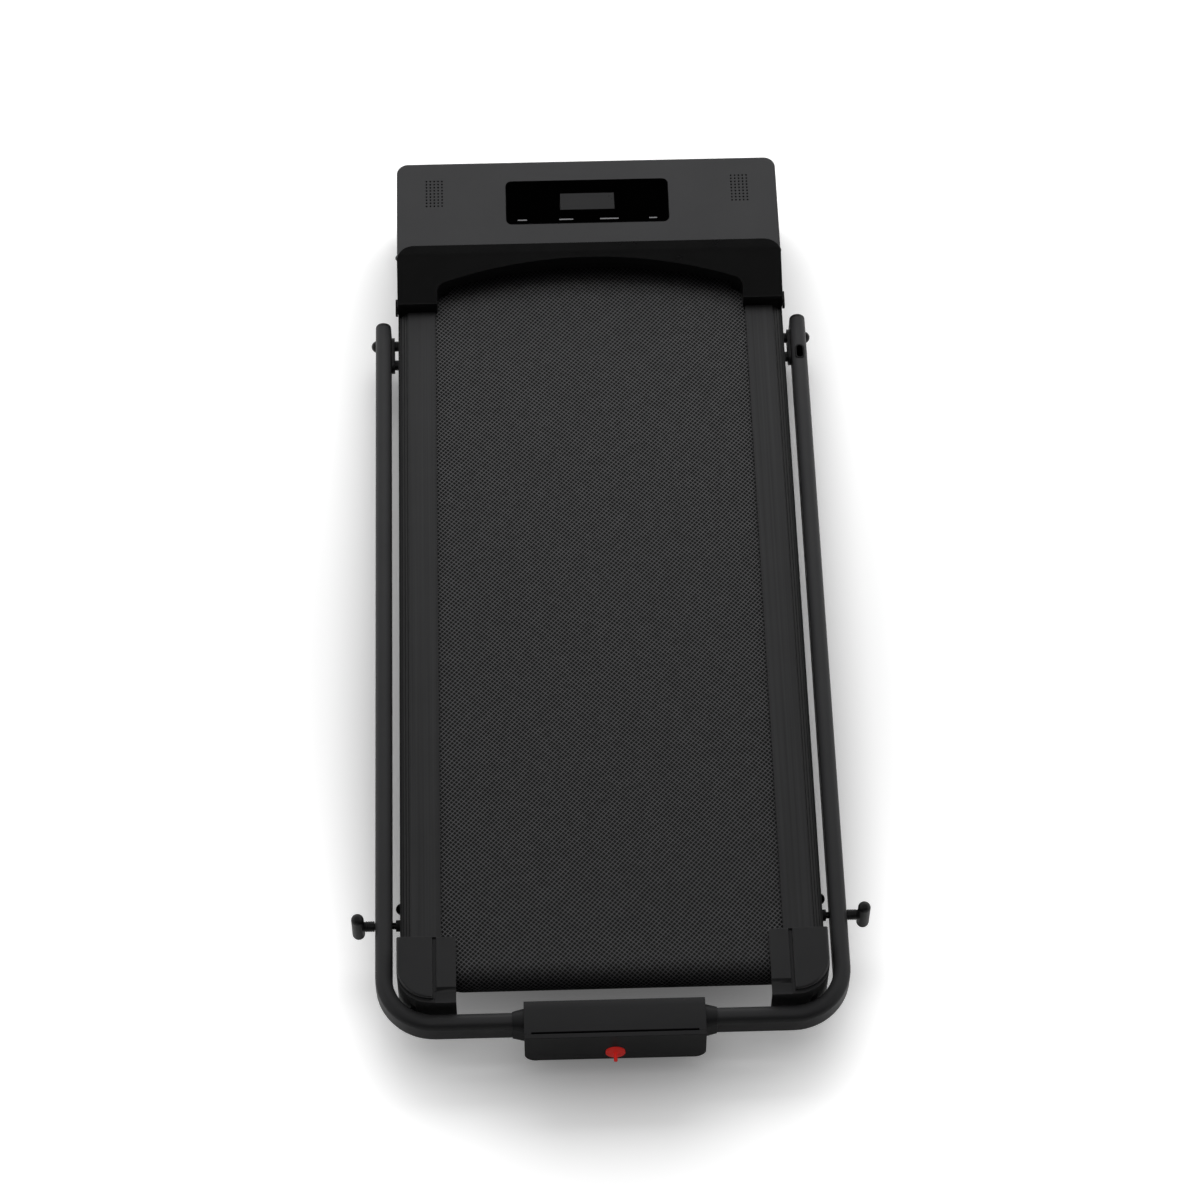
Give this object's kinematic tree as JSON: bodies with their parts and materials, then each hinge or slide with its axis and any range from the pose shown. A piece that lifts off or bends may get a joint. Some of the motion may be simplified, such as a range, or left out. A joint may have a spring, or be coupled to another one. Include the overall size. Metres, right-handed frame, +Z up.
{
  "type": "walking pad",
  "caption": "Low under-desk treadmill with a motor hood, grooved side rails and a U-shaped handrail that folds flat round the deck and locks with T-knobs.",
  "frame": {"origin": "on the floor, under the middle of the folded machine's bounding box", "axes": "+Y along the deck towards the motor hood, +Z up, +X to the right seen from the console"},
  "size_m": [0.612, 1.254, 0.1395],
  "materials": {
    "black_steel": "satin powder coat",
    "bright_steel": "turned and zinc plated",
    "hood_plastic": "fine grain, dark grey",
    "black_plastic": "fine grain, black",
    "rail_plastic": "grooved, dark grey",
    "lens": "polished black",
    "readout": "smoked",
    "belt": "diamond-weave grip",
    "board": "waxed fibreboard",
    "rubber": "matt",
    "cast": "cast and painted",
    "heat_sink": "extruded",
    "circuit": "solder mask",
    "red_plastic": "semi-gloss red",
    "grey_plastic": "moulded"
  },
  "bodies": {
    "deck": {"frame_side_left": "black_steel", "frame_side_right": "black_steel", "frame_cross_members": "black_steel", "pivot_bracket_left": "black_steel", "pivot_bracket_right": "black_steel", "motor_mount": "black_steel", "dome_nuts": "black_steel", "rail_bolts": "black_steel", "hood_screws": "black_steel", "front_bearings": "bright_steel", "rear_axle": "bright_steel", "roller_adjusters": "bright_steel", "pivot_bolts": "bright_steel", "wheel_axles": "bright_steel", "hood_shell": "hood_plastic", "hood_apron": "black_plastic", "belly_pan": "black_plastic", "service_panel": "black_plastic", "power_inlet": "black_plastic", "switch_housings": "black_plastic", "speakers": "black_plastic", "side_rail_left": "rail_plastic", "side_rail_right": "rail_plastic", "rear_cap_left": "rail_plastic", "rear_cap_right": "rail_plastic", "display_lens": "lens", "lcd_window": "readout", "running_belt": "belt", "deck_board": "board", "deck_cushions": "rubber", "rubber_feet": "rubber", "drive_belt": "rubber", "motor_body": "cast", "motor_controller": "heat_sink", "display_board": "circuit"},
    "front_roller": {"front_roller": "bright_steel", "driven_pulley": "cast"},
    "rear_roller": {"rear_roller": "bright_steel", "roller_bearings": "bright_steel"},
    "motor_rotor": {"motor_shaft": "bright_steel", "motor_pulley": "cast"},
    "transport_wheel_left": {"transport_wheel_left": "rubber"},
    "transport_wheel_right": {"transport_wheel_right": "rubber"},
    "power_rocker": {"power_rocker": "red_plastic"},
    "breaker_button": {"breaker_button": "grey_plastic"},
    "handrail": {"handrail_tube": "black_steel", "tube_plugs": "black_plastic", "pivot_bushes": "black_plastic", "clamp_bushes": "black_plastic", "cable_grommet": "rubber", "console_housing": "black_plastic", "console_lid": "black_plastic", "console_collars": "black_plastic"},
    "clamp_foot_left": {"clamp_foot_left": "black_plastic"},
    "clamp_foot_right": {"clamp_foot_right": "black_plastic"},
    "lock_knob_left": {"lock_knob_left": "black_plastic", "lock_screw_left": "bright_steel"},
    "lock_knob_right": {"lock_knob_right": "black_plastic", "lock_screw_right": "bright_steel"},
    "safety_key": {"safety_key": "red_plastic"}
  },
  "joints": [
    {"name": "handrail_fold", "type": "hinge", "parent": "deck", "child": "handrail", "pos_m": [0, 0.386, 0.064], "axis": [-1, 0, 0], "range_deg": [0, 90]},
    {"name": "front_roller_spin", "type": "hinge", "parent": "deck", "child": "front_roller", "pos_m": [0, 0.505, 0.0731], "axis": [1, 0, 0], "continuous": true},
    {"name": "rear_roller_spin", "type": "hinge", "parent": "deck", "child": "rear_roller", "pos_m": [0, -0.518, 0.0731], "axis": [1, 0, 0], "continuous": true},
    {"name": "motor_spin", "type": "hinge", "parent": "deck", "child": "motor_rotor", "pos_m": [0, 0.578, 0.08], "axis": [1, 0, 0], "continuous": true},
    {"name": "power_rocker_tilt", "type": "hinge", "parent": "deck", "child": "power_rocker", "pos_m": [0.157, 0.617, 0.072], "axis": [1, 0, 0], "range_deg": [0, 16]},
    {"name": "breaker_press", "type": "slide", "parent": "deck", "child": "breaker_button", "axis": [0, -1, 0], "range_m": [0, 0.0025], "stiffness_N_per_m": 400},
    {"name": "safety_key_pull", "type": "slide", "parent": "handrail", "child": "safety_key", "axis": [0, -0.9973, 0.0729], "range_m": [0, 0.03]},
    {"name": "transport_wheel_spin_left", "type": "hinge", "parent": "deck", "child": "transport_wheel_left", "pos_m": [-0.231, 0.6, 0.024], "axis": [1, 0, 0], "continuous": true},
    {"name": "knob_feed_left", "type": "slide", "parent": "handrail", "child": "clamp_foot_left", "axis": [-1, 0, 0], "range_m": [0, 0.0015]},
    {"name": "knob_turn_left", "type": "hinge", "parent": "clamp_foot_left", "child": "lock_knob_left", "pos_m": [-0.28, -0.45, 0.064], "axis": [-1, 0, 0], "range_deg": [0, 450]},
    {"name": "transport_wheel_spin_right", "type": "hinge", "parent": "deck", "child": "transport_wheel_right", "pos_m": [0.231, 0.6, 0.024], "axis": [1, 0, 0], "continuous": true},
    {"name": "knob_feed_right", "type": "slide", "parent": "handrail", "child": "clamp_foot_right", "axis": [1, 0, 0], "range_m": [0, 0.0015]},
    {"name": "knob_turn_right", "type": "hinge", "parent": "clamp_foot_right", "child": "lock_knob_right", "pos_m": [0.28, -0.45, 0.064], "axis": [1, 0, 0], "range_deg": [0, 450]}
  ],
  "couplings": [
    {"joint": "rear_roller_spin", "follows": "front_roller_spin", "ratio": 1},
    {"joint": "motor_spin", "follows": "front_roller_spin", "ratio": 2.7},
    {"joint": "knob_turn_left", "follows": "knob_feed_left", "rad_per_m": 5026.5},
    {"joint": "knob_turn_right", "follows": "knob_feed_right", "rad_per_m": 5026.5}
  ]
}
